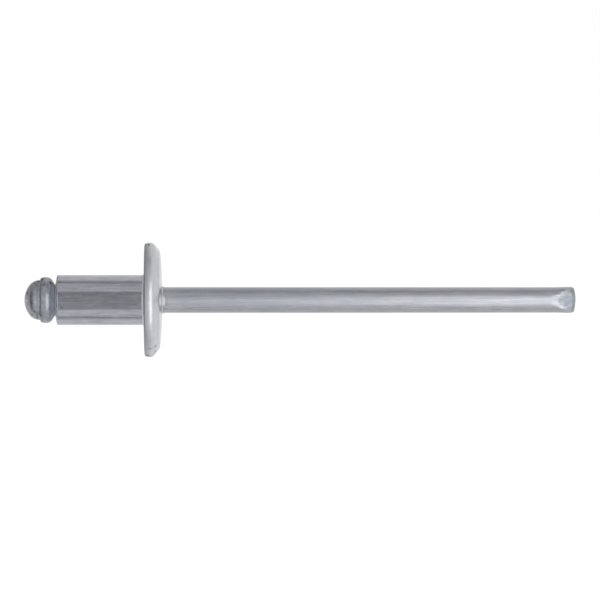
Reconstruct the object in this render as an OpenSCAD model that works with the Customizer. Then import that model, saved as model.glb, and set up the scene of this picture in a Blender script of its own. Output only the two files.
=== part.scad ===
// Large flange blind rivet, as sold, before it is set.
// A soft metal body has a sleeve and a wide flange, and a hard mandrel runs through it.
// Each piece is drawn along its own axis: the underside of the flange is at zero, and
// the mandrel's tip is on the positive side. Then both are laid down as they rest on a
// table, on the flange's rim and the mandrel's tip.

/* [Sleeve] */
// Outer diameter of the sleeve that goes through the sheets
sleeve_d = 4.8; // [4:0.1:6.4]
// Length of the sleeve below the flange
sleeve_l = 8.4; // [6:0.1:20]
// Rounding of the outer edge at the end of the sleeve
sleeve_edge_r = 0.15; // [0.05:0.01:0.3]
// How far the pressed lip stands out at the end of the sleeve
end_lip_h = 0.15; // [0.05:0.01:0.3]
// Fillet where the sleeve meets the flange
root_fillet_r = 0.25; // [0.05:0.05:0.5]

/* [Flange] */
// Diameter of the flange
flange_d = 11; // [8:0.1:18]
// Height of the side of the rim, up to where its rounded edge begins
rim_h = 0.55; // [0.3:0.05:1]
// Radius that bows the side of the rim
rim_bow_r = 2; // [1.2:0.1:6]
// Rounding from the side of the rim to the bevel
rim_edge_r = 0.6; // [0.3:0.05:0.9]
// Slope of the bevel round the face, from the axis
bevel_angle = 50; // [40:1:65]
// Width of the rounded edge and the bevel, in from the rim
bevel_w = 0.825; // [0.6:0.025:1.5]
// Rounding from the bevel to the dome
face_edge_r = 0.3; // [0.1:0.05:0.6]
// Rise of the shallow dome above the bevel
dome_rise = 0.2; // [0.16:0.02:1]
// Rounding of the edge under the rim
under_edge_r = 0.26; // [0.04:0.02:0.28]

/* [Staked mouth] */
// Height of the lip that is squeezed against the mandrel
mouth_lip_h = 0.25; // [0.1:0.05:0.5]
// Wall of that lip at its top
mouth_lip_w = 0.07; // [0.04:0.01:0.15]
// Wall of that lip where it leaves the dome
mouth_root_w = 0.25; // [0.2:0.05:0.5]
// Length of the staked grip on the mandrel
grip_l = 1; // [0.7:0.1:1.4]
// Depth of the waist that the grip leaves in the mandrel
grip_depth = 0.04; // [0.02:0.01:0.08]

/* [Mandrel] */
// Diameter of the mandrel's shank
mandrel_d = 2.45; // [1.8:0.05:2.7]
// Distance from the underside of the flange to the tip
tip_reach = 41.4; // [28:0.2:60]
// Gap between the shank and the bore, all round
bore_gap = 0.05; // [0.03:0.01:0.1]
// Depth of the neck where the mandrel breaks
neck_depth = 0.38; // [0.2:0.02:0.5]
// Radius of the groove that makes the neck
neck_groove_r = 0.45; // [0.3:0.05:0.8]
// Distance from the end of the sleeve to the middle of the neck
neck_inset = 1.4; // [1:0.1:3]

/* [Mandrel head] */
// Diameter of the collar round the head
collar_d = 4.42; // [3.6:0.02:4.8]
// Thickness of the collar
collar_h = 1; // [0.5:0.05:1.4]
// Radius that bows the side of the collar
collar_bow_r = 1.05; // [0.8:0.05:3]
// Rounding from the side of the collar to the cone under it
collar_round_r = 0.6; // [0.2:0.05:0.7]
// Step from the collar in to the dome
collar_step = 0.3; // [0.1:0.05:0.5]
// Straight stretch between the collar and the dome
skirt_l = 0.1; // [0.05:0.05:0.5]
// Rounding of the shoulder of the dome
shoulder_r = 1.2; // [0.6:0.1:1.3]
// Rise of the nose above the shoulder
nose_rise = 0.26; // [0.1:0.02:1]
// Slope of the cone under the head, from the axis
under_angle = 57; // [45:1:70]
// Width of the ring on the sleeve's end that this cone seats on
seat_w = 0.175; // [0.05:0.025:0.3]

/* [Tip] */
// Slope of the two pinched faces, from the axis
pinch_angle = 25; // [18:1:40]
// Length of the steeper torn band at the very end, where the wire parted
tear_l = 0.3; // [0.1:0.05:0.5]
// Slope of that band, from the axis
tear_angle = 45; // [35:1:60]
// Thickness of the blunt ridge that the band leaves
ridge_w = 0.4; // [0.2:0.05:1.2]
// Rounding of the edge round the tip
tip_edge_r = 0.3; // [0.1:0.05:0.5]
// Rise of the slightly domed end
tip_rise = 0.12; // [0.04:0.02:0.3]

/* [Hidden] */
$fn = 96;
// Sides used for the arcs of large radius
dome_fn = 720;
// How far a cutting shape runs past what it cuts
past = 1;
// How far inside a rounding the straight side that touches it is drawn, so that they cross
tuck = 0.0003;

sleeve_r = sleeve_d / 2;
flange_r = flange_d / 2;
shank_r = mandrel_d / 2;
bore_r = shank_r + bore_gap;
collar_r = collar_d / 2;
dome_r = collar_r - collar_step;

// Heights along the axis, on the flange side
face_r = flange_r - bevel_w;
bevel_foot_r = flange_r - rim_edge_r * (1 - cos(bevel_angle));
bevel_foot_h = rim_h + rim_edge_r * sin(bevel_angle);
bevel_top_h = bevel_foot_h + (bevel_foot_r - face_r) / tan(bevel_angle);
flange_h = bevel_top_h + dome_rise;
dome_bow_r = (face_r ^ 2 + dome_rise ^ 2) / (2 * dome_rise);
mouth_h = flange_h + mouth_lip_h;
grip_h = mouth_h - grip_l;
tip_side_h = tip_reach - tip_edge_r - tip_rise;

// Heights along the axis, on the head side
sleeve_end_h = -sleeve_l;
lip_h = sleeve_end_h - end_lip_h;
seat_r = bore_r + seat_w;
seat_h = lip_h + cone_run(seat_r - bore_r);
throat_h = lip_h + cone_run(seat_r - shank_r);
collar_edge_r = bowed_r(collar_r, collar_bow_r, collar_h / 2);
collar_low_h = throat_h - cone_run(collar_edge_r - shank_r);
collar_top_h = collar_low_h - collar_h;
collar_at = [collar_r - collar_bow_r, collar_top_h + collar_h / 2];
collar_round_at = round_centre(
    [shank_r, throat_h], under_angle, collar_at, collar_bow_r, collar_round_r, -1
);
nose_side_h = collar_top_h - skirt_l;
neck_h = sleeve_end_h + neck_inset;

// How far the cone under the head runs along the axis while its radius changes by dr
function cone_run(dr) = dr / tan(under_angle);

// Radius of a bowed side at a distance along the axis from where it is widest
function bowed_r(r, bow_r, away) = r - bow_r + sqrt(bow_r ^ 2 - away ^ 2);

// Radius of the dome that tops a rounded edge, tangent to it, at a rise above it
function cap_r(r, edge_r, rise) =
    ((r - edge_r) ^ 2 + (edge_r + rise) ^ 2 - edge_r ^ 2) / (2 * rise);

// Height of the flange's dome at a radius from the axis
function dome_h(r) = flange_h - dome_bow_r + sqrt(dome_bow_r ^ 2 - r ^ 2);

// Direction that a surface faces when it slopes by an angle from the axis
function facing(angle) = [cos(angle), sin(angle)];

// Centre of the rounding that touches a sloping line and a circle, both from inside. The
// line passes through a point, and way is 1 or -1 for the end of the line to round.
function round_centre(point, angle, centre, r, round_r, way) =
    let(along = [-sin(angle), cos(angle)])
    let(from = point - round_r * facing(angle) - centre)
    let(half = from * along)
    centre + from + (way * sqrt(half ^ 2 - from * from + (r - round_r) ^ 2) - half) * along;

// Angle at which the rivet lies: one straight line touches the rounded edges of the
// rim and of the tip, and that line is the table
rest_along = tip_side_h - rim_h;
rest_across = (flange_r - rim_edge_r) - (shank_r - tip_edge_r);
rest_angle = atan2(rest_across, rest_along)
    + asin((rim_edge_r - tip_edge_r) / norm([rest_along, rest_across]));

// Half outline of a round end: straight side up to zero, a rounded edge, then a dome
module capped_end(r, edge_r, rise) {
    cap = cap_r(r, edge_r, rise);
    top = edge_r + rise;
    cap_centre = [0, top - cap];
    edge_centre = [r - edge_r, 0];
    reach = (edge_centre - cap_centre) * cap / (cap - edge_r);
    intersection() {
        translate(cap_centre) circle(cap, $fn = dome_fn);
        polygon([[0, 0], edge_centre, cap_centre + 1.1 * reach, [0, top + past]]);
    }
    translate(edge_centre) circle(edge_r);
}

// Keeps the half of an outline that a revolve needs
module right_half(low, high, wide) {
    intersection() {
        translate([0, low]) square([wide, high - low]);
        children();
    }
}

// Half outline of the flange's face: rounded edge, bevel, rounded corner and dome
module flange_face() {
    edge_at = [flange_r - rim_edge_r, rim_h];
    dome_at = [0, flange_h - dome_bow_r];
    corner_at = round_centre(
        [face_r, bevel_top_h], bevel_angle, dome_at, dome_bow_r, face_edge_r, 1
    );
    reach = (corner_at - dome_at) * dome_bow_r / (dome_bow_r - face_edge_r);
    intersection() {
        translate(dome_at) circle(dome_bow_r, $fn = dome_fn);
        polygon([[0, rim_h], corner_at, dome_at + 1.1 * reach, [0, flange_h + past]]);
    }
    polygon([
        [0, rim_h], edge_at, edge_at + (rim_edge_r - tuck) * facing(bevel_angle),
        corner_at + (face_edge_r - tuck) * facing(bevel_angle), corner_at
    ]);
    translate(corner_at) circle(face_edge_r);
    translate(edge_at) circle(rim_edge_r);
}

// Half outline of the flange, from its flat underside to its dome
module flange_outline() {
    bow_x = flange_r - rim_bow_r;
    under_x = bow_x + sqrt((rim_bow_r - under_edge_r) ^ 2 - (rim_h - under_edge_r) ^ 2);
    right_half(0, flange_h, flange_r) {
        flange_face();
        intersection() {
            translate([bow_x, rim_h]) circle(rim_bow_r, $fn = dome_fn);
            translate([0, under_edge_r]) square([flange_r + past, rim_h - under_edge_r]);
        }
        translate([under_x, under_edge_r]) circle(under_edge_r);
        square([under_x, rim_h]);
    }
}

// Fillet in the corner between the sleeve and the underside of the flange
module root_fillet() {
    translate([sleeve_r, -root_fillet_r]) difference() {
        square(root_fillet_r);
        translate([root_fillet_r, 0]) circle(root_fillet_r);
    }
}

// Half outline of the sleeve, with the lip at its end that the mandrel's head pressed
module sleeve_outline() {
    edge_x = sleeve_r - sleeve_edge_r;
    edge_h = sleeve_end_h + sleeve_edge_r;
    polygon([
        [0, lip_h], [seat_r, lip_h], [edge_x, sleeve_end_h], [sleeve_r, edge_h],
        [sleeve_r, rim_h], [0, rim_h]
    ]);
    translate([edge_x, edge_h]) circle(sleeve_edge_r);
    root_fillet();
}

// Lip at the middle of the dome, staked against the mandrel
module mouth_lip() {
    root_r = shank_r + mouth_root_w;
    root = [root_r, dome_h(root_r)];
    top = [shank_r + mouth_lip_w, mouth_h];
    polygon([[0, rim_h], root + (root - top) / 4, top, [0, mouth_h]]);
}

// Half outline of what the mandrel leaves open in the body
module bore_outline() {
    polygon([
        [0, lip_h - past], [seat_r + past * tan(under_angle), lip_h - past],
        [bore_r, seat_h], [bore_r, grip_h - bore_gap],
        [shank_r, grip_h], [shank_r - grip_depth, grip_h + grip_l / 2],
        [shank_r, mouth_h], [shank_r, mouth_h + past], [0, mouth_h + past]
    ]);
}

// Half outline of the mandrel's shank, with its neck and the waist that the grip leaves
module shank_outline() {
    difference() {
        polygon([
            [0, collar_top_h], [collar_at.x, collar_top_h], collar_at, collar_round_at,
            collar_round_at + (collar_round_r - tuck) * facing(under_angle),
            [shank_r, throat_h],
            [shank_r, grip_h], [shank_r - grip_depth, grip_h + grip_l / 2],
            [shank_r, mouth_h], [shank_r, tip_side_h], [0, tip_side_h]
        ]);
        translate([shank_r - neck_depth + neck_groove_r, neck_h]) circle(neck_groove_r);
    }
    translate([0, tip_side_h]) right_half(0, tip_edge_r + tip_rise, shank_r)
        capped_end(shank_r, tip_edge_r, tip_rise);
}

// Half outline of the mandrel's head: dome, short skirt and bowed collar
module head_outline() {
    translate([0, nose_side_h]) mirror([0, 1])
        right_half(0, shoulder_r + nose_rise, dome_r)
        capped_end(dome_r, shoulder_r, nose_rise);
    translate([0, nose_side_h]) square([dome_r, skirt_l + collar_h / 2]);
    reach = (collar_round_at - collar_at) * collar_bow_r / (collar_bow_r - collar_round_r);
    right_half(collar_top_h, throat_h, collar_r) {
        intersection() {
            translate(collar_at) circle(collar_bow_r);
            polygon([
                [0, collar_top_h], [collar_r + past, collar_top_h],
                collar_at + 1.5 * reach, collar_at
            ]);
        }
        translate(collar_round_at) circle(collar_round_r);
    }
}

// One of the two faces that pinching the wire off leaves at the tip, with its torn band
module pinch_cut() {
    far = shank_r + past;
    tear_h = tip_reach - tear_l;
    tear_y = ridge_w / 2 + tear_l * tan(tear_angle);
    run = (far - tear_y) / tan(pinch_angle);
    rotate([90, 0, 90]) linear_extrude(2 * far, center = true) polygon([
        [ridge_w / 2, tip_reach], [tear_y, tear_h], [far, tear_h - run],
        [far, tip_reach + past], [ridge_w / 2, tip_reach + past]
    ]);
}

// Lays a piece down from its own axis to how the rivet rests on a table
module lie_down() {
    rotate([0, 90 + rest_angle, 0]) children();
}

module rivet_body() {
    color("#aeb0b6") lie_down() rotate_extrude() difference() {
        union() {
            flange_outline();
            sleeve_outline();
            mouth_lip();
        }
        bore_outline();
    }
}

module mandrel() {
    color("#9a9da6") lie_down() difference() {
        rotate_extrude() {
            head_outline();
            shank_outline();
        }
        for (side = [0, 1]) mirror([0, side, 0]) pinch_cut();
    }
}

rivet_body();
mandrel();
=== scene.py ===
"""Looks of the large flange blind rivet: its two pieces, their metals, the studio and the camera.

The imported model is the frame. Each piece here is drawn along its own local Z, with the underside
of the flange at zero and the mandrel's tip on the positive side, and is then laid down as the
rivet rests on the floor. Lengths are in metres, written as millimetres times MM.
"""

import math

import bpy
import numpy as np
from mathutils import Matrix, Vector, noise


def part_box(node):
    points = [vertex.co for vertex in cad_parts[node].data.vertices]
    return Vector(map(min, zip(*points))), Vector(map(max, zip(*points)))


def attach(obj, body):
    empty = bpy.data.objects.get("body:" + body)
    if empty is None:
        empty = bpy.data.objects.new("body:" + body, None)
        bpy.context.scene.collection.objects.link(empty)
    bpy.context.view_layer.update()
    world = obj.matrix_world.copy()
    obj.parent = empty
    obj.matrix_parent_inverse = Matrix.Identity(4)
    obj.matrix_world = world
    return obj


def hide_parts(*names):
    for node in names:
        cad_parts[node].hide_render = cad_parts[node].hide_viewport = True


MM = 0.001

# The sizes of the sleeve, flange, mouth, mandrel and tip are those of the part's source, apart from
# the ones that a heading says differ

# Sleeve. The fine rounding of its lip isn't in the solid
SLEEVE_R = 2.4 * MM
SLEEVE_L = 8.4 * MM
SLEEVE_EDGE_R = 0.15 * MM
END_LIP_H = 0.15 * MM
END_LIP_R = 0.02 * MM
END_LIP_ARC = (-150, -80)
ROOT_FILLET_R = 0.25 * MM

# Flange. The corner between bevel and face is softer than the solid's 0.3 mm
FLANGE_R = 5.5 * MM
RIM_H = 0.55 * MM
RIM_BOW_R = 2 * MM
RIM_EDGE_R = 0.6 * MM
BEVEL_ANGLE = math.radians(50)
BEVEL_W = 0.825 * MM
FACE_EDGE_R = 0.8 * MM
DOME_RISE = 0.2 * MM
UNDER_EDGE_R = 0.26 * MM

# Staked mouth. Its lip and the lip's root are thinner than the solid's 0.07 and 0.25 mm. The lip is
# given by points, each with its distance from the shank and its depth under the mouth
MOUTH_LIP_H = 0.25 * MM
MOUTH_LIP = ((0.03 * MM, 0.15 * MM), (0.02 * MM, 0.06 * MM), (0.008 * MM, 0.005 * MM), (0, 0))
MOUTH_ROOT_W = 0.1 * MM
MOUTH_ROOT_R = 0.06 * MM
GRIP_L = 1 * MM
GRIP_DEPTH = 0.04 * MM

# Mandrel
SHANK_R = 1.225 * MM
TIP_REACH = 41.4 * MM
BORE_GAP = 0.05 * MM
NECK_DEPTH = 0.38 * MM
NECK_GROOVE_R = 0.45 * MM
NECK_INSET = 1.4 * MM

# Mandrel head. The solid has no fillets where the dome meets the collar
COLLAR_R = 2.21 * MM
COLLAR_H = 1 * MM
COLLAR_BOW_R = 1.05 * MM
COLLAR_ROUND_R = 0.6 * MM
COLLAR_STEP = 0.3 * MM
COLLAR_FILLET_R = 0.12 * MM
DOME_FILLET_R = 0.12 * MM
SKIRT_L = 0.1 * MM
SHOULDER_R = 1.2 * MM
NOSE_RISE = 0.26 * MM
UNDER_ANGLE = math.radians(57)
SEAT_W = 0.175 * MM

# Tip
PINCH_ANGLE = math.radians(25)
TEAR_L = 0.3 * MM
TEAR_ANGLE = math.radians(45)
RIDGE_W = 0.4 * MM
TIP_EDGE_R = 0.3 * MM
TIP_RISE = 0.12 * MM

# Pinch: where it may start, the swell of the wire beside it, and how softly its cuts meet the rest.
# The solid has no swell, and its edges are sharp
PINCH_START_H = 38.5 * MM
SWELL_H = 40.6 * MM
SWELL_L = 0.7 * MM
SWELL_SHARE = 0.022
SWELL_START = (39 * MM, 40 * MM)
FACE_BLEND = 0.01 * MM
TEAR_BLEND = 0.05 * MM
TRIM_BLEND = 0.03 * MM

# Places that follow from those sizes, along the axis
FACE_R = FLANGE_R - BEVEL_W
BEVEL_FOOT_R = FLANGE_R - RIM_EDGE_R * (1 - math.cos(BEVEL_ANGLE))
BEVEL_FOOT_H = RIM_H + RIM_EDGE_R * math.sin(BEVEL_ANGLE)
BEVEL_TOP_H = BEVEL_FOOT_H + (BEVEL_FOOT_R - FACE_R) / math.tan(BEVEL_ANGLE)
DOME_BOW_R = (FACE_R**2 + DOME_RISE**2) / (2 * DOME_RISE)
DOME_BOW_H = BEVEL_TOP_H + DOME_RISE - DOME_BOW_R
MOUTH_H = BEVEL_TOP_H + DOME_RISE + MOUTH_LIP_H
GRIP_H = MOUTH_H - GRIP_L
TIP_SIDE_H = TIP_REACH - TIP_EDGE_R - TIP_RISE
TEAR_H = TIP_REACH - TEAR_L
LIP_H = -SLEEVE_L - END_LIP_H
BORE_R = SHANK_R + BORE_GAP
SEAT_R = BORE_R + SEAT_W
SEAT_H = LIP_H + SEAT_W / math.tan(UNDER_ANGLE)
THROAT_H = LIP_H + (SEAT_R - SHANK_R) / math.tan(UNDER_ANGLE)
COLLAR_EDGE_R = COLLAR_R - COLLAR_BOW_R + math.sqrt(COLLAR_BOW_R**2 - (COLLAR_H / 2) ** 2)
COLLAR_LOW_H = THROAT_H - (COLLAR_EDGE_R - SHANK_R) / math.tan(UNDER_ANGLE)
COLLAR_TOP_H = COLLAR_LOW_H - COLLAR_H
DOME_R = COLLAR_R - COLLAR_STEP
NOSE_SIDE_H = COLLAR_TOP_H - SKIRT_L
NECK_H = NECK_INSET - SLEEVE_L

# How the rivet lies: one line touches the rounded edges of the rim and of the tip
REST_ALONG = TIP_SIDE_H - RIM_H
REST_ACROSS = (FLANGE_R - RIM_EDGE_R) - (SHANK_R - TIP_EDGE_R)
REST_ANGLE = math.atan2(REST_ACROSS, REST_ALONG) + math.asin(
    (RIM_EDGE_R - TIP_EDGE_R) / math.hypot(REST_ALONG, REST_ACROSS)
)
LIE_DOWN = Matrix.Rotation(math.pi / 2 + REST_ANGLE, 4, "Y")

# The photograph's frame: its side in pixels, its scale, and where the axis crosses its middle
PHOTO_SIDE_PX = 600
PX = 0.096 * MM
MIDDLE_H = 14.94 * MM

# The camera. Blender takes the width of its sensor as a number of millimetres
CAMERA_DISTANCE = 900 * MM
CAMERA_CLIP = (0.01, 10)
SENSOR_W = 36

# Mesh detail: sides of a turned mesh, steps of an arc, and the angle from which an edge is sharp
SEGMENTS = 256
ARC_STEP = math.radians(6)
SHARP_ANGLE = math.radians(38)

# Longest runs of the outlines. The tip's holds above FINE_TIP_H, the bore's within BORE_SIDE_R
FINE_TIP_H = 38.6 * MM
BORE_SIDE_R = SHANK_R + 0.06 * MM
TIP_RUN = 0.022 * MM
HEAD_RUN = 0.05 * MM
SHANK_RUN = 0.4 * MM
BORE_RUN = 0.6 * MM
FLANGE_RUN = 0.09 * MM
SLEEVE_RUN = 0.16 * MM

# A face of a turned mesh: steps round the axis and along the outline to each of its corners
FACE_CORNERS = ((0, 0), (1, 0), (1, 1), (0, 1))

# Steps along each axis from one seed of the noise to the next
SEED_STEPS = (7.3, 3.1, 5.7)


def arc(centre, radius, start, end):
    """Points on a circle in the outline's plane, from one angle to another, in degrees."""
    start, end = math.radians(start), math.radians(end)
    steps = max(4, round(abs(end - start) / ARC_STEP))
    turns = [start + (end - start) * i / steps for i in range(steps + 1)]
    return [(centre[0] + radius * math.cos(a), centre[1] + radius * math.sin(a)) for a in turns]


def refined(outline, longest):
    """The outline with its long runs cut up. longest(radius, height) gives the longest run there."""
    fine = [outline[0]]
    for start, end in zip(outline, outline[1:]):
        middle = ((start[0] + end[0]) / 2, (start[1] + end[1]) / 2)
        parts = max(1, math.ceil(math.dist(start, end) / longest(*middle)))
        for i in range(1, parts + 1):
            t = i / parts
            fine.append((start[0] + (end[0] - start[0]) * t, start[1] + (end[1] - start[1]) * t))
    return fine


def cap_r(radius, edge_r, rise):
    """Radius of the dome that tops a rounded edge, tangent to it, at a rise above it."""
    return ((radius - edge_r) ** 2 + (edge_r + rise) ** 2 - edge_r**2) / (2 * rise)


def round_end(side_h, radius, edge_r, rise, away):
    """Outline of a round end from its side to the axis. away is 1 towards the tip, -1 towards the nose."""
    cap = cap_r(radius, edge_r, rise)
    cap_h = side_h + away * (edge_r + rise - cap)
    edge_turn = math.degrees(math.atan2(side_h - cap_h, radius - edge_r))
    edge = arc((radius - edge_r, side_h), edge_r, 0, edge_turn)
    return edge + arc((0, cap_h), cap, edge_turn, away * 90)[1:]


def round_centre(point, angle, centre, radius, round_r, way):
    """Centre of the rounding that touches a sloping line and a circle, both from inside.

    The line passes through point. way is 1 or -1 for the end of the line to round.
    """
    facing = np.array([math.cos(angle), math.sin(angle)])
    along = np.array([-facing[1], facing[0]])
    start = np.array(point) - round_r * facing - np.array(centre)
    half = start @ along
    reach = way * math.sqrt(half**2 - start @ start + (radius - round_r) ** 2) - half
    return tuple(np.array(centre) + start + reach * along)


def turn_between(centre, point):
    """Direction from a centre to a point of the outline's plane, in degrees."""
    return math.degrees(math.atan2(point[1] - centre[1], point[0] - centre[0]))


def body_outline():
    """Closed outline of the body: seat, end, sleeve, flange, staked mouth and bore."""
    bow_x = FLANGE_R - RIM_BOW_R
    under_x = bow_x + math.sqrt((RIM_BOW_R - UNDER_EDGE_R) ** 2 - (RIM_H - UNDER_EDGE_R) ** 2)
    bow_turn = math.degrees(math.atan2(UNDER_EDGE_R - RIM_H, under_x - bow_x))
    edge_x = FLANGE_R - RIM_EDGE_R
    bevel_turn = math.degrees(BEVEL_ANGLE)
    bow_at = (0, DOME_BOW_H)
    corner = round_centre((FACE_R, BEVEL_TOP_H), BEVEL_ANGLE, bow_at, DOME_BOW_R, FACE_EDGE_R, 1)
    corner_turn = turn_between(bow_at, corner)
    root_x = SHANK_R + MOUTH_ROOT_W + MOUTH_ROOT_R
    root_h = DOME_BOW_H + math.sqrt(DOME_BOW_R**2 - root_x**2)
    root_turn = math.degrees(math.acos(root_x / DOME_BOW_R))
    end_x = SLEEVE_R - SLEEVE_EDGE_R
    return [
        (BORE_R, SEAT_H),
        *arc((SEAT_R, LIP_H + END_LIP_R), END_LIP_R, *END_LIP_ARC),
        *arc((end_x, SLEEVE_EDGE_R - SLEEVE_L), SLEEVE_EDGE_R, -90, 0),
        *arc((SLEEVE_R + ROOT_FILLET_R, -ROOT_FILLET_R), ROOT_FILLET_R, 180, 90),
        *arc((under_x, UNDER_EDGE_R), UNDER_EDGE_R, -90, bow_turn),
        *arc((bow_x, RIM_H), RIM_BOW_R, bow_turn, 0)[1:],
        *arc((edge_x, RIM_H), RIM_EDGE_R, 0, bevel_turn)[1:],
        *arc(corner, FACE_EDGE_R, bevel_turn, corner_turn),
        *arc(bow_at, DOME_BOW_R, corner_turn, root_turn)[1:],
        *arc((root_x, root_h + MOUTH_ROOT_R), MOUTH_ROOT_R, 270, 180),
        *[(SHANK_R + off, MOUTH_H - under) for off, under in MOUTH_LIP],
        (SHANK_R - GRIP_DEPTH, GRIP_H + GRIP_L / 2),
        (SHANK_R, GRIP_H),
        (BORE_R, GRIP_H - BORE_GAP),
        (BORE_R, SEAT_H),
    ]


def mandrel_outline():
    """Outline of the mandrel from its nose to its tip, before the tip is pinched."""
    bow = (COLLAR_R - COLLAR_BOW_R, COLLAR_TOP_H + COLLAR_H / 2)
    edge = round_centre((DOME_R, COLLAR_TOP_H), -math.pi / 2, bow, COLLAR_BOW_R, COLLAR_FILLET_R, 1)
    lower = round_centre((SHANK_R, THROAT_H), UNDER_ANGLE, bow, COLLAR_BOW_R, COLLAR_ROUND_R, -1)
    edge_turn = turn_between(bow, edge)
    lower_turn = turn_between(bow, lower)
    neck = (SHANK_R - NECK_DEPTH + NECK_GROOVE_R, NECK_H)
    neck_turn = math.degrees(math.acos((SHANK_R - neck[0]) / NECK_GROOVE_R))
    return [
        *reversed(round_end(NOSE_SIDE_H, DOME_R, SHOULDER_R, NOSE_RISE, -1)),
        *arc((DOME_R + DOME_FILLET_R, COLLAR_TOP_H - DOME_FILLET_R), DOME_FILLET_R, 180, 90)[1:],
        *arc(edge, COLLAR_FILLET_R, -90, edge_turn),
        *arc(bow, COLLAR_BOW_R, edge_turn, lower_turn)[1:],
        *arc(lower, COLLAR_ROUND_R, lower_turn, math.degrees(UNDER_ANGLE))[1:],
        (SHANK_R, THROAT_H),
        *arc(neck, NECK_GROOVE_R, 360 - neck_turn, neck_turn),
        (SHANK_R, GRIP_H),
        (SHANK_R - GRIP_DEPTH, GRIP_H + GRIP_L / 2),
        (SHANK_R, MOUTH_H),
        *round_end(TIP_SIDE_H, SHANK_R, TIP_EDGE_R, TIP_RISE, 1),
    ]


def revolve(name, outline, closed):
    """Mesh made by turning an outline round local Z. An open outline starts and ends on the axis.

    Its UV map runs once round the axis and once along the outline.
    """
    rings = outline[:-1] if closed else outline[1:-1]
    turns = [math.tau * j / SEGMENTS for j in range(SEGMENTS)]
    corners = [(r * math.cos(a), r * math.sin(a), h) for r, h in rings for a in turns]
    count = len(rings)
    faces = []
    uvs = []
    for low in range(count if closed else count - 1):
        for j in range(SEGMENTS):
            square = [(low + up, j + on) for on, up in FACE_CORNERS]
            faces.append([ring % count * SEGMENTS + turn % SEGMENTS for ring, turn in square])
            uvs += [(turn / SEGMENTS, ring / count) for ring, turn in square]
    if not closed:
        for ring, (_, h), away in ((0, outline[0], -1), (count - 1, outline[-1], 1)):
            pole = len(corners)
            corners.append((0, 0, h))
            for j in range(SEGMENTS):
                order = (j, j + 1)[::away]
                faces.append([pole] + [ring * SEGMENTS + turn % SEGMENTS for turn in order])
                uvs += [((j + 0.5) / SEGMENTS, (ring + away) / count)]
                uvs += [(turn / SEGMENTS, ring / count) for turn in order]
    mesh = bpy.data.meshes.new(name)
    mesh.from_pydata(corners, [], faces)
    mesh.uv_layers.new(name="around_and_along").data.foreach_set("uv", np.ravel(uvs))
    mesh.polygons.foreach_set("use_smooth", [True] * len(mesh.polygons))
    mesh.update()
    return mesh


def points_of(mesh):
    """The mesh's vertices as an array."""
    flat = np.zeros(len(mesh.vertices) * 3, np.float32)
    mesh.vertices.foreach_get("co", flat)
    return flat.reshape(-1, 3).astype(float)


def normals_of(mesh):
    """The mesh's vertex normals as an array."""
    return np.array([v.normal for v in mesh.vertices], float)


def move_points(mesh, points):
    """Puts the mesh's vertices at these points."""
    mesh.vertices.foreach_set("co", points.astype(np.float32).ravel())
    mesh.update()


def smooth_step(low, high, value):
    """0 below low, 1 above high, and a smooth rise between them."""
    t = np.clip((value - low) / (high - low), 0, 1)
    return t * t * (3 - 2 * t)


def soft_min(a, b, blend):
    """The smaller of two values, rounded over where they are within blend of each other."""
    share = np.clip(0.5 + 0.5 * (b - a) / blend, 0, 1)
    return b * (1 - share) + a * share - blend * share * (1 - share)


def bumps(points, size, seed):
    """Smooth noise from about -1 to 1 at each point, with features of this size."""
    shift = Vector([seed * step for step in SEED_STEPS])
    return np.array([noise.noise(Vector(p) / size + shift) for p in points])


def place(mesh, materials, node):
    """Lays a piece down in the frame, where it replaces its CAD node and keeps within the node's box."""
    mesh.set_sharp_from_angle(angle=SHARP_ANGLE)
    for material in materials:
        mesh.materials.append(material)
    mesh.transform(LIE_DOWN)
    move_points(mesh, np.clip(points_of(mesh), *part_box(node)))
    piece = bpy.data.objects.new(mesh.name, mesh)
    bpy.context.scene.collection.objects.link(piece)
    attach(piece, "root")
    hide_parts(node)


# Corners that the pinch trims beside its two faces, which the solid leaves out: the sides they are
# on, up or down and near or far, the way that one of them faces, and a point on it
CORNER_SIDES = ((-1, -1), (-1, 1), (1, -1), (1, 1))
CORNER_LEAN = Vector((0.426, 0.637, 0.642)).normalized()
CORNER_AT = Vector((0.94 * MM, 0.68 * MM, 40.71 * MM))


def pinched(points):
    """Pinches the tip: returns the moved points, and how far the faces and the corners took each one."""
    x, y, z = points.T.copy()
    swell = np.exp(-(((z - SWELL_H) / SWELL_L) ** 2))
    x = x * (1 + SWELL_SHARE * swell * smooth_step(*SWELL_START, z))
    tear_y = RIDGE_W / 2 + TEAR_L * math.tan(TEAR_ANGLE)
    pinch_y = tear_y + (TEAR_H - z) * math.tan(PINCH_ANGLE)
    torn_y = RIDGE_W / 2 + (TIP_REACH - z) * math.tan(TEAR_ANGLE)
    limit = soft_min(pinch_y, torn_y, TEAR_BLEND)
    depth = np.abs(y)
    flat = np.where(z > PINCH_START_H, soft_min(depth, limit, FACE_BLEND), depth)
    pressed = depth - flat
    moved = np.column_stack([x, np.copysign(flat, y), z])
    trimmed = np.zeros(len(points))
    for up, near in CORNER_SIDES:
        facing = np.array([CORNER_LEAN.x * up, CORNER_LEAN.y * near, CORNER_LEAN.z])
        at = np.array([CORNER_AT.x * up, CORNER_AT.y * near, CORNER_AT.z])
        above = (moved - at) @ facing
        cut = above - soft_min(above, 0, TRIM_BLEND)
        moved -= np.outer(cut, facing)
        trimmed = np.maximum(trimmed, cut)
    return moved, pressed, trimmed


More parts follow.
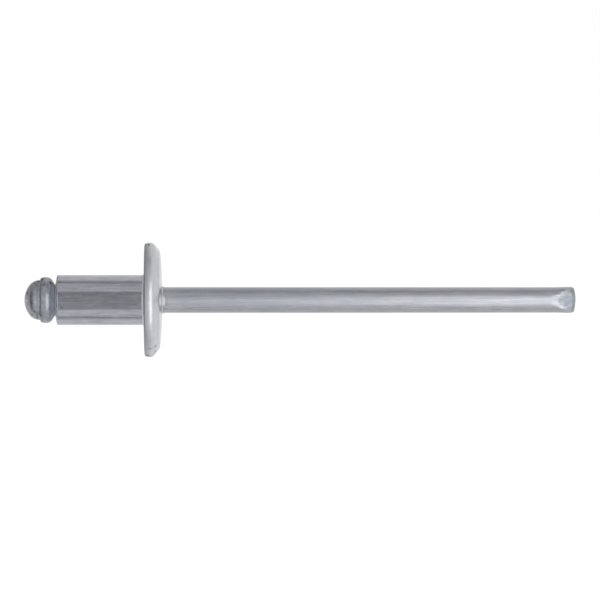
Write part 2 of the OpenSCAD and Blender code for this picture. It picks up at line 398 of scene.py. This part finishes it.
# Dents, nicks and the tip's shallow marks, in millimetres and degrees: place along the axis, turn
# from the near side up over the top, length along the axis, width across it, and depth. Each one is
# also painted darker by its depth, as painted shade
MANDREL_DENTS = (
    (-10.19, 72, 0.26, 0.5, 0.06),
    (-9.81, 68, 0.22, 0.36, 0.045),
    (-8.94, 54, 0.22, 0.28, 0.04),
    (-10.29, 49, 0.14, 0.16, 0.03),
    (-10.44, 61, 0.14, 0.2, 0.03),
    (-9.62, 42, 0.2, 0.25, 0.02),
    (-11.2, 36, 0.12, 0.3, 0.03),
    (-9.95, -46, 0.2, 0.3, 0.035),
    (-10.5, -38, 0.16, 0.2, 0.03),
    (-10.75, -55, 0.16, 0.22, 0.03),
    (-10.25, -60, 0.16, 0.22, 0.03),
    (40.09, 20, 0.25, 0.08, 0.015),
    (40.38, -13, 0.25, 0.08, 0.012),
    (40.04, -3, 0.22, 0.08, 0.012),
    # This mark is there mainly to paint shade over a bright flare at the tip
    (41.0, 61, 0.45, 0.5, 0.01),
    (41.15, -61, 0.12, 0.15, 0.03),
    (39.74, 3, 0.5, 0.9, 0.008),
    (39.42, 1, 0.4, 0.5, 0.005),
    (40.8, -53, 0.5, 0.5, 0.009),
    (40.05, 47, 0.4, 0.4, 0.007),
    (40.85, 46, 0.4, 0.4, 0.006),
)
BODY_DENTS = (
    (0.42, 75, 0.22, 0.5, 0.05),
    (1.11, -59, 0.18, 0.24, 0.04),
    (1.11, -72, 0.18, 0.3, 0.04),
    (0.55, -58, 0.45, 0.2, 0.02),
    (0.3, -76, 0.35, 0.4, 0.035),
    (-7.95, -17.5, 0.4, 0.09, 0.025),
    (-8.2, 64, 0.14, 0.2, 0.025),
    (-8.15, 46, 0.14, 0.14, 0.025),
)


def dented(points, dents):
    """How deep the dents take each point."""
    x, y, z = points.T / MM
    radius = np.hypot(x, y)
    turn = np.arctan2(-x, -y)
    depth = np.zeros(len(points))
    for along, degrees, length, width, deep in dents:
        off = np.angle(np.exp(1j * (turn - math.radians(degrees)))) * radius
        share = np.exp(-((2 * (z - along) / length) ** 2) - (2 * off / width) ** 2)
        depth = np.maximum(depth, deep * share)
    return depth * MM


# Bands round the axis that are painted darker as shade: in the step between dome and collar, on the
# collar's underside by the sleeve's end, and at the mouth's lip. Each has its place along the axis and
# width in millimetres, and share. A dent as deep as the depth below is painted all dark
FULL_SHADE_DEPTH = 0.03 * MM
MANDREL_SHADE_BANDS = (
    (-10.22, 0.1, 0.2),
    (-9.84, 0.12, 0.28),
    (-9.03, 0.22, 0.46),
)
BODY_SHADE_BANDS = ((1.9, 0.14, 0.38),)


def paint_shade(mesh, points, depth, bands):
    """Keeps how much painted shade each vertex gets from its dent and from the bands, for the materials to
    read.
    """
    share = depth / FULL_SHADE_DEPTH
    for along, width, most in bands:
        share += most * np.exp(-(((points[:, 2] / MM - along) / width) ** 2))
    mesh.attributes.new("painted_shade", "FLOAT", "POINT").data.foreach_set("value", np.clip(share, 0, 1))


def mandrel_run(_, height):
    """Longest run of the mandrel's outline at a height."""
    if height > FINE_TIP_H:
        return TIP_RUN
    return HEAD_RUN if height < LIP_H else SHANK_RUN


def body_run(radius, height):
    """Longest run of the body's outline at a place."""
    if radius < BORE_SIDE_R:
        return BORE_RUN
    return FLANGE_RUN if height > 0 else SLEEVE_RUN


# How far the pinch has to take a face before it counts as sheared, torn or trimmed, and before its
# blotches reach their full height
SHEARED_DEPTH = 0.004 * MM
TORN_DEPTH = 0.03 * MM
TRIMMED_DEPTH = 0.005 * MM
BLOTCHED_DEPTH = 0.15 * MM


def build_mandrel(materials):
    """The mandrel: upset head, plain shank and pinched tip."""
    mesh = revolve("drawn_mandrel", refined(mandrel_outline(), mandrel_run), closed=False)
    points, pressed, trimmed = pinched(points_of(mesh))
    move_points(mesh, points)
    normals = normals_of(mesh)
    head = 1 - smooth_step(COLLAR_LOW_H, THROAT_H, points[:, 2])
    face = smooth_step(0, BLOTCHED_DEPTH, pressed + trimmed)
    # Both reliefs are in millimetres
    lumps = 0.011 * bumps(points, 0.8 * MM, 1) + 0.0012 * bumps(points, 0.35 * MM, 2) - 0.005
    blotches = 0.01 * (bumps(points * (1, 1, 0.7), 0.5 * MM, 3) - 0.6)
    blotches += 0.0015 * bumps(points, 0.15 * MM, 6)
    dents = dented(points, MANDREL_DENTS)
    height = (head * lumps + face * blotches) * MM - dents
    move_points(mesh, points + normals * height[:, None])
    paint_shade(mesh, points, dents, MANDREL_SHADE_BANDS)
    shank, headed, seated, sheared, burred = range(5)
    for polygon in mesh.polygons:
        corners = list(polygon.vertices)
        along = polygon.center.z
        if along < THROAT_H:
            polygon.material_index = headed if along < COLLAR_LOW_H else seated
        elif min(trimmed[corners]) > TRIMMED_DEPTH:
            polygon.material_index = burred
        elif along > TEAR_H and min(pressed[corners]) > TORN_DEPTH:
            polygon.material_index = burred
        elif min(pressed[corners]) > SHEARED_DEPTH:
            polygon.material_index = sheared
        else:
            polygon.material_index = shank
    place(mesh, materials, "mandrel")


# Where the body's waves rise: away from the shank, and more of them from the root of the flange up
WAVES_START = (SHANK_R + 0.1 * MM, SHANK_R + 0.3 * MM)
FLANGE_START = (-0.1 * MM, 0.2 * MM)

# Bands in the pressed metal, whose paleness is partly a painted highlight: the sleeve's end and the fillet
# at its root
END_BAND_L = 0.03 * MM
ROOT_BAND_L = 0.19 * MM


def build_body(materials):
    """The body: sleeve and flange formed in one."""
    mesh = revolve("formed_body", refined(body_outline(), body_run), closed=True)
    points = points_of(mesh)
    normals = normals_of(mesh)
    outside = smooth_step(*WAVES_START, np.hypot(points[:, 0], points[:, 1]))
    flange = smooth_step(*FLANGE_START, points[:, 2])
    # In millimetres, and cut into the metal
    waves = 0.006 * (bumps(points, 2.2 * MM, 4) - 1) * flange
    waves += 0.0015 * (bumps(points, 1.6 * MM, 5) - 1)
    dents = dented(points, BODY_DENTS)
    height = waves * outside * MM - dents
    move_points(mesh, points + normals * height[:, None])
    paint_shade(mesh, points, dents, BODY_SHADE_BANDS)
    sleeve, formed, pressed = range(3)
    for polygon in mesh.polygons:
        along = polygon.center.z
        # The pale pressed metal here also paints a highlight on the end's edge and on the root fillet
        if along < END_BAND_L - SLEEVE_L or -ROOT_BAND_L < along < 0:
            polygon.material_index = pressed
        else:
            polygon.material_index = sleeve if along < 0 else formed
    place(mesh, materials, "rivet_body")


class Shader:
    """A material's or world's node tree, with short calls for the nodes used here."""

    def __init__(self, owner):
        owner.use_nodes = True
        self.tree = owner.node_tree
        self.tree.nodes.clear()

    def add(self, kind, settings=None, **inputs):
        """A node with these settings. An input is a value or another node's output."""
        node = self.tree.nodes.new("ShaderNode" + kind)
        for name, value in (settings or {}).items():
            setattr(node, name, value)
        for name, value in inputs.items():
            self.feed(node.inputs[name.replace("_", " ")], value)
        return node

    def feed(self, socket, value):
        """Sets a socket to a value, or links another node's output to it."""
        if isinstance(value, bpy.types.NodeSocket):
            self.tree.links.new(value, socket)
        else:
            socket.default_value = value

    def maths(self, operation, *values):
        """A Math node's result."""
        node = self.tree.nodes.new("ShaderNodeMath")
        node.operation = operation
        for socket, value in zip(node.inputs, values):
            self.feed(socket, value)
        return node.outputs[0]

    def total(self, first, *rest):
        """The sum of some values."""
        return self.maths("ADD", first, self.total(*rest)) if rest else first

    def spread(self, value, low, high, start=0.0, end=1.0):
        """A value from low to high brought smoothly to start to end, and held there beyond."""
        return self.add(
            "MapRange",
            {"interpolation_type": "SMOOTHSTEP"},
            Value=value,
            From_Min=low,
            From_Max=high,
            To_Min=start,
            To_Max=end,
        ).outputs["Result"]

    def mixed(self, factor, first, second):
        """A colour between two colours."""
        node = self.add("Mix", {"data_type": "RGBA"})
        self.feed(node.inputs["Factor"], factor)
        for socket, value in zip([s for s in node.inputs if s.type == "RGBA"], (first, second)):
            self.feed(socket, value)
        return [s for s in node.outputs if s.type == "RGBA"][0]

    def place_on_piece(self):
        """The point on the piece, stood up again so that Z runs along the rivet's axis."""
        lying = self.add("TexCoord").outputs["Object"]
        return self.add("Mapping", Vector=lying, Rotation=LIE_DOWN.inverted().to_euler()).outputs[0]

    def noise(self, vector, across, along=None, detail=2.0):
        """Noise from 0 to 1 with features of this size across the axis, and along it if that differs."""
        scale = (1 / across, 1 / across, 1 / (along or across))
        stretched = self.add("Mapping", Vector=vector, Scale=scale)
        return self.add("TexNoise", Vector=stretched.outputs[0], Scale=1.0, Detail=detail).outputs[0]

    def height_of(self, vector):
        """How far along the axis the point is."""
        return self.add("SeparateXYZ", Vector=vector).outputs[2]

    def ring_place(self, vector):
        """The point as its distance from the axis and its height, for marks that run round the axis."""
        parts = self.add("SeparateXYZ", Vector=vector).outputs
        squares = [self.maths("MULTIPLY", part, part) for part in (parts[0], parts[1])]
        radius = self.maths("POWER", self.total(*squares), 0.5)
        return self.add("CombineXYZ", X=radius, Y=0.0, Z=parts[2]).outputs[0]


def rgba(red, green, blue):
    """A colour with full alpha."""
    return (red, green, blue, 1.0)


# Colour of the painted shade in dents and creases, and how much of the metal it covers at most
PAINTED_SHADE = (0.03, 0.03, 0.035)
PAINTED_SHADE_COVER = 0.9


def metal(name, dark, light, tone, roughness, height, depth, brushed=0.0):
    """A metal whose colour runs from dark to light with tone, and whose relief is height times depth.

    tone, roughness and height are called with the shader and the point, and give outputs. brushed
    widens reflections round the axis.
    """
    material = bpy.data.materials.new(name)
    shader = Shader(material)
    point = shader.place_on_piece()
    relief = shader.add("Bump", Strength=1.0, Distance=depth, Height=height(shader, point))
    clean = shader.mixed(tone(shader, point), rgba(*dark), rgba(*light))
    # Painted shade in dents and creases, read from the mesh
    painted_shade = shader.add("Attribute", {"attribute_name": "painted_shade"}).outputs["Fac"]
    surface = shader.add(
        "BsdfPrincipled",
        Base_Color=shader.mixed(shader.maths("MULTIPLY", painted_shade, PAINTED_SHADE_COVER), clean, rgba(*PAINTED_SHADE)),
        Metallic=1.0,
        Roughness=roughness(shader, point),
        Normal=relief.outputs[0],
    )
    if brushed:
        surface.inputs["Anisotropic"].default_value = brushed
        around = shader.add("Tangent", {"direction_type": "UV_MAP"})
        shader.feed(surface.inputs["Tangent"], around.outputs[0])
    shader.add("OutputMaterial", Surface=surface.outputs[0])
    return material


def drawn_steel():
    """The shank: plated wire with the die's lines along it. Its tone also carries painted light: lighter
    just by the mouth, and lighter towards the tip.
    """
    return metal(
        "drawn_steel",
        (0.42, 0.44, 0.49),
        (0.53, 0.54, 0.56),
        lambda s, p: s.total(
            s.spread(s.noise(p, 0.13 * MM, 4 * MM, 3), 0.35, 0.65, 0, 0.55),
            s.spread(s.noise(p, 0.5 * MM, 1.6 * MM, 3), 0.35, 0.65, 0, 0.4),
            # Painted light: lighter just by the mouth, then darker by the flange and growing lighter
            # towards the tip, as the highlight does
            s.spread(s.height_of(p), 1.9 * MM, 4 * MM, 0.5, 0),
            s.spread(s.height_of(p), 2 * MM, 36 * MM, -0.33, 0.07),
        ),
        lambda s, p: s.spread(s.noise(p, 0.12 * MM, 9 * MM, 3), 0.3, 0.7, 0.26, 0.36),
        lambda s, p: s.noise(p, 0.05 * MM, 5 * MM, 3),
        0.0008 * MM,
        brushed=0.5,
    )


def headed_steel():
    """The head: struck cold, with a darker and slightly mottled skin."""
    return metal(
        "headed_steel",
        (0.33, 0.345, 0.385),
        (0.45, 0.465, 0.525),
        lambda s, p: s.spread(s.noise(p, 0.45 * MM, detail=3), 0.3, 0.7),
        lambda s, p: s.spread(s.noise(p, 0.4 * MM, detail=2), 0.3, 0.7, 0.3, 0.38),
        lambda s, p: s.noise(p, 0.2 * MM, detail=1),
        0.0007 * MM,
    )


def seated_steel():
    """The cone under the head, dulled where it bears on the sleeve."""
    return metal(
        "seated_steel",
        (0.56, 0.58, 0.64),
        (0.66, 0.68, 0.74),
        lambda s, p: s.spread(s.noise(s.ring_place(p), 0.12 * MM), 0.3, 0.7),
        lambda s, p: s.spread(s.noise(p, 0.2 * MM, detail=3), 0.3, 0.7, 0.5, 0.62),
        lambda s, p: s.noise(p, 0.1 * MM, detail=4),
        0.002 * MM,
    )


def sheared_steel():
    """The pinched faces: metal in soft blotches, with short marks along the wire."""
    return metal(
        "sheared_steel",
        (0.35, 0.385, 0.43),
        (0.5, 0.53, 0.575),
        lambda s, p: s.spread(s.noise(p, 0.4 * MM, 0.6 * MM, 2), 0.32, 0.66),
        lambda s, p: s.spread(s.noise(p, 0.3 * MM, detail=2), 0.3, 0.7, 0.34, 0.5),
        lambda s, p: s.noise(p, 0.15 * MM, 0.4 * MM, 2),
        0.002 * MM,
    )


def burred_steel():
    """The torn band at the very end and the trimmed corners: rough metal, a little darker, which on the
    trimmed corners is painted shade.
    """
    return metal(
        "burred_steel",
        (0.3, 0.325, 0.325),
        (0.48, 0.51, 0.51),
        lambda s, p: s.spread(s.noise(p, 0.12 * MM, detail=4), 0.3, 0.7),
        lambda s, p: s.spread(s.noise(p, 0.1 * MM, detail=3), 0.3, 0.7, 0.4, 0.55),
        lambda s, p: s.noise(p, 0.07 * MM, detail=4),
        0.004 * MM,
    )


def sleeve_aluminium():
    """The sleeve: smooth soft metal with faint lines along it and fine scuffs."""
    return metal(
        "sleeve_aluminium",
        (0.41, 0.42, 0.475),
        (0.56, 0.57, 0.625),
        lambda s, p: s.spread(
            s.total(
                s.maths("MULTIPLY", s.noise(p, 0.16 * MM, 2 * MM, 3), 0.55),
                s.maths("MULTIPLY", s.noise(p, 0.6 * MM, 1 * MM, 4), 0.45),
            ),
            0.3,
            0.7,
        ),
        lambda s, p: s.spread(s.noise(p, 0.25 * MM, 1.5 * MM, 4), 0.35, 0.7, 0.07, 0.12),
        lambda s, p: s.noise(p, 0.1 * MM, 2.5 * MM, 3),
        0.0006 * MM,
    )


def pressed_highlit_aluminium():
    """The sleeve's pressed end and the fillet at its root: dull, and pale partly as a painted highlight
    along the fillet and the end's edge.
    """
    return metal(
        "pressed_highlit_aluminium",
        (0.74, 0.75, 0.78),
        (0.82, 0.83, 0.86),
        lambda s, p: s.noise(s.ring_place(p), 0.1 * MM),
        lambda s, p: s.spread(s.noise(p, 0.2 * MM, detail=3), 0.3, 0.7, 0.42, 0.55),
        lambda s, p: s.noise(p, 0.1 * MM, detail=4),
        0.002 * MM,
    )


def flange_aluminium():
    """The flange: struck between dies, so it is duller, with faint rings round the axis.

    It is darker towards its underside, and dullest on its rim and round the mouth.
    """
    return metal(
        "flange_aluminium",
        (0.45, 0.455, 0.485),
        (0.68, 0.685, 0.71),
        lambda s, p: s.maths(
            "MULTIPLY",
            s.spread(s.height_of(p), 0.1 * MM, 0.62 * MM),
            s.total(
                s.maths("MULTIPLY", s.noise(p, 0.5 * MM, detail=4), 0.6),
                s.maths("MULTIPLY", s.noise(s.ring_place(p), 0.12 * MM), 0.8),
            ),
        ),
        lambda s, p: s.total(
            s.spread(s.height_of(p), 1.74 * MM, 1.8 * MM, 0, 0.16),
            s.spread(s.noise(p, 0.3 * MM, detail=4), 0.3, 0.7, 0, 0.08),
            s.spread(s.height_of(p), 0.95 * MM, 1.2 * MM, 0.34, 0.14),
        ),
        lambda s, p: s.total(
            s.maths("MULTIPLY", s.noise(s.ring_place(p), 0.1 * MM), 0.5),
            s.maths("MULTIPLY", s.noise(p, 0.15 * MM, detail=4), 0.5),
        ),
        0.001 * MM,
    )


def picture_axes():
    """Right, up and back of the photograph's camera, which looks straight along +Y."""
    along = LIE_DOWN.to_3x3() @ Vector((0, 0, 1))
    across = LIE_DOWN.to_3x3() @ Vector((-1, 0, 0))
    return along, across, along.cross(across)


def add_camera():
    """Perspective camera that frames the rivet as the photograph does."""
    right, up, back = picture_axes()
    data = bpy.data.cameras.new("camera")
    data.sensor_width = SENSOR_W
    data.lens = SENSOR_W * CAMERA_DISTANCE / (PHOTO_SIDE_PX * PX)
    data.clip_start, data.clip_end = CAMERA_CLIP
    camera = bpy.data.objects.new("camera", data)
    camera.matrix_world = Matrix((right, up, back)).transposed().to_4x4()
    camera.location = LIE_DOWN @ Vector((0, 0, MIDDLE_H)) + back * CAMERA_DISTANCE
    bpy.context.scene.collection.objects.link(camera)
    bpy.context.scene.camera = camera


# Studio seen in the metal. Each zone covers a range of angles away from the camera, one of yaw, the
# lean to the right, and one of pitch, the lean up. Its edges fade over some degrees, and it is this
# much brighter or darker than the rest. Below, the studio is a little brighter than above. Rays that
# aren't mirrored meet a plain level
STUDIO_LEVEL = 0.66
STUDIO_SLOPE = 0.07
STUDIO_ZONES = (
    ("camera side", (0, 38), (-16, 5), (-90, 90), 9, -0.29),
    ("under the camera", (38, 46), (-16, 5), (-90, 0), 9, -0.29),
    ("left softbox", (0, 64), (-56, -10), (-48, 26), 12, 0.24),
    ("right softbox", (0, 60), (3, 42), (-48, 26), 8, 1.1),
    ("seam", (82, 97), (-90, 20), (-90, 90), 9, -0.22),
    ("lower seam", (76, 92), (-90, 20), (-90, 0), 9, -0.08),
    ("left seam", (57, 102), (-90, -53), (-90, 90), 12, -0.36),
    ("backdrop", (104, 180), (-90, 90), (-90, 90), 14, 0.20),
    ("upper left backdrop", (104, 180), (-90, -4), (5, 90), 14, -0.36),
    ("lower left backdrop", (100, 180), (-90, 5), (-90, -5), 14, -0.15),
    ("right wall", (0, 104), (30, 90), (-90, 90), 20, 0.24),
)
ZONE_LIMITS = ((0, 180), (-90, 90), (-90, 90))
DIFFUSE_LEVEL = 0.6


def studio_level(shader):
    """Brightness of the studio in the direction that a ray leaves the scene."""
    heading = shader.add("TexCoord").outputs["Generated"]
    parts = []
    for axis in picture_axes():
        part = shader.add("VectorMath", {"operation": "DOT_PRODUCT"})
        shader.feed(part.inputs[0], heading)
        shader.feed(part.inputs[1], axis)
        parts.append(part.outputs["Value"])
    right, up, back = parts
    away = shader.maths("DEGREES", shader.maths("ARCCOSINE", back))
    yaw = shader.maths("DEGREES", shader.maths("ARCSINE", right))
    pitch = shader.maths("DEGREES", shader.maths("ARCSINE", up))
    level = shader.maths("SUBTRACT", STUDIO_LEVEL, shader.maths("MULTIPLY", up, STUDIO_SLOPE))
    for _, *ranges, fade, change in STUDIO_ZONES:
        share = change
        for value, (low, high), (least, most) in zip((away, yaw, pitch), ranges, ZONE_LIMITS):
            if low > least:
                rising = shader.spread(value, low - fade / 2, low + fade / 2)
                share = shader.maths("MULTIPLY", share, rising)
            if high < most:
                falling = shader.spread(value, high - fade / 2, high + fade / 2, 1, 0)
                share = shader.maths("MULTIPLY", share, falling)
        level = shader.maths("ADD", level, share)
    return level


def add_world():
    """White behind the object for the camera, the studio in the metal, and a plain level elsewhere."""
    world = bpy.data.worlds.new("studio")
    bpy.context.scene.world = world
    world.cycles.sampling_method = "NONE"
    shader = Shader(world)
    path = shader.add("LightPath").outputs
    mirrored = shader.maths("MAXIMUM", path["Is Glossy Ray"], path["Is Transmission Ray"])
    strength = shader.maths("MULTIPLY", mirrored, studio_level(shader))
    plain = shader.maths("MULTIPLY", shader.maths("SUBTRACT", 1.0, mirrored), DIFFUSE_LEVEL)
    strength = shader.maths("ADD", strength, plain)
    strength = shader.maths("MAXIMUM", strength, path["Is Camera Ray"])
    light = shader.add("Background", Color=rgba(1, 1, 1), Strength=strength)
    shader.add("OutputWorld", Surface=light.outputs[0])


def sheet(name, width, height):
    """Mesh of a flat rectangle round its own origin."""
    x, y = width / 2, height / 2
    mesh = bpy.data.meshes.new(name)
    mesh.from_pydata([(-x, -y, 0), (x, -y, 0), (x, y, 0), (-x, y, 0)], [], [(0, 1, 2, 3)])
    return mesh


# The floor's side in metres, its paint, and the glow that makes it white in the picture
FLOOR_SIDE = 3
FLOOR_PAINT = (0.82, 0.82, 0.82)
FLOOR_GLOW = 0.56


def add_floor():
    """Pale floor at the height on which the rivet rests. It keeps the rivet's shadow."""
    mesh = sheet("floor", FLOOR_SIDE, FLOOR_SIDE)
    floor = bpy.data.objects.new("floor", mesh)
    floor.location.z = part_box("mandrel")[0].z
    bpy.context.scene.collection.objects.link(floor)
    floor.visible_glossy = False
    material = bpy.data.materials.new("pale_floor")
    shader = Shader(material)
    path = shader.add("LightPath").outputs
    shown = shader.maths("MAXIMUM", path["Is Camera Ray"], path["Is Transmission Ray"])
    strength = shader.maths("MULTIPLY", shown, FLOOR_GLOW)
    paint = shader.add("BsdfDiffuse", Color=rgba(*FLOOR_PAINT))
    glow = shader.add("Emission", Color=rgba(1, 1, 1), Strength=strength)
    both = shader.add("AddShader")
    shader.feed(both.inputs[0], paint.outputs[0])
    shader.feed(both.inputs[1], glow.outputs[0])
    shader.add("OutputMaterial", Surface=both.outputs[0])
    mesh.materials.append(material)


# Lamps: azimuth to the right of the camera's side and elevation in degrees, distance, size, power
SOFTBOXES = (
    ("top_softbox", 35, 62, 350 * MM, 160 * MM, 0.55),
    ("fill_softbox", -60, 40, 400 * MM, 250 * MM, 0.3),
)


def add_softbox(name, azimuth, elevation, distance, size, energy):
    """Lamp that lights the floor and casts the soft shadow. It isn't seen in the metal."""
    a, e = math.radians(azimuth), math.radians(elevation)
    toward = (Vector((1, 0, 0)) * math.sin(a) + Vector((0, -1, 0)) * math.cos(a)) * math.cos(e)
    toward = toward + Vector((0, 0, 1)) * math.sin(e)
    data = bpy.data.lights.new(name, "AREA")
    data.shape = "SQUARE"
    data.size = size
    data.energy = energy
    lamp = bpy.data.objects.new(name, data)
    lamp.location = LIE_DOWN @ Vector((0, 0, MIDDLE_H)) + toward * distance
    lamp.rotation_mode = "QUATERNION"
    lamp.rotation_quaternion = toward.to_track_quat("Z", "Y")
    lamp.visible_camera = False
    lamp.visible_glossy = False
    bpy.context.scene.collection.objects.link(lamp)


# Cards that only the metal shows, for the shank between the flange and the tip. The first lights its
# camera side, the second its underside, and the third darkens its top. Each has its place along
# the axis and over it, its distance towards the camera, its size and softness, both along the axis
# and upright, and its level. Softness is the share of the size that fades out
CARDS = (
    ("key_card", (66 * MM, -64 * MM), 300 * MM, (106 * MM, 728 * MM), (0.4, 0.6), 1.8),
    ("low_card", (32 * MM, -495 * MM), 40 * MM, (80 * MM, 530 * MM), (0.1, 0.5), 1.6),
    ("dark_card", (32 * MM, 580 * MM), 150 * MM, (80 * MM, 543 * MM), (0.1, 0.5), 0.3),
)


def add_card(name, centre, distance, size, softness, level):
    """Card that stands across the view, with soft edges."""
    right, up, back = picture_axes()
    mesh = sheet(name, *size)
    card = bpy.data.objects.new(name, mesh)
    card.matrix_world = Matrix((right, up, back)).transposed().to_4x4()
    card.location = right * centre[0] + up * centre[1] + back * distance
    bpy.context.scene.collection.objects.link(card)
    for ray in ("camera", "diffuse", "transmission", "shadow", "volume_scatter"):
        setattr(card, "visible_" + ray, False)
    material = bpy.data.materials.new(name)
    material.cycles.emission_sampling = "NONE"
    shader = Shader(material)
    spot = shader.add("TexCoord").outputs["Object"]
    parts = shader.add("SeparateXYZ", Vector=spot).outputs
    shares = []
    for part, side, soft in zip(parts, size, softness):
        off = shader.maths("ABSOLUTE", part)
        shares.append(shader.spread(off, side / 2 * (1 - soft), side / 2, 1, 0))
    glow = shader.add("Emission", Color=rgba(1, 1, 1), Strength=level)
    clear = shader.add("BsdfTransparent")
    blend = shader.add("MixShader")
    shader.feed(blend.inputs[0], shader.maths("MULTIPLY", *shares))
    shader.feed(blend.inputs[1], clear.outputs[0])
    shader.feed(blend.inputs[2], glow.outputs[0])
    shader.add("OutputMaterial", Surface=blend.outputs[0])
    mesh.materials.append(material)


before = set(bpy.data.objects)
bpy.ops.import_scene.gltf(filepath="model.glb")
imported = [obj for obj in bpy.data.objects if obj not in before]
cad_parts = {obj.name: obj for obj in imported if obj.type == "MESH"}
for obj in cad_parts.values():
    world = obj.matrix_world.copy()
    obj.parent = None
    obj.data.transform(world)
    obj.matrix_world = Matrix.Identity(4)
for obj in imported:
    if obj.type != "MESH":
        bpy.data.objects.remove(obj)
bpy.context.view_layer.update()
build_mandrel([drawn_steel(), headed_steel(), seated_steel(), sheared_steel(), burred_steel()])
build_body([sleeve_aluminium(), flange_aluminium(), pressed_highlit_aluminium()])
add_floor()
add_world()
for softbox in SOFTBOXES:
    add_softbox(*softbox)
for card in CARDS:
    add_card(*card)
add_camera()
bpy.context.scene.view_settings.view_transform = "Standard"
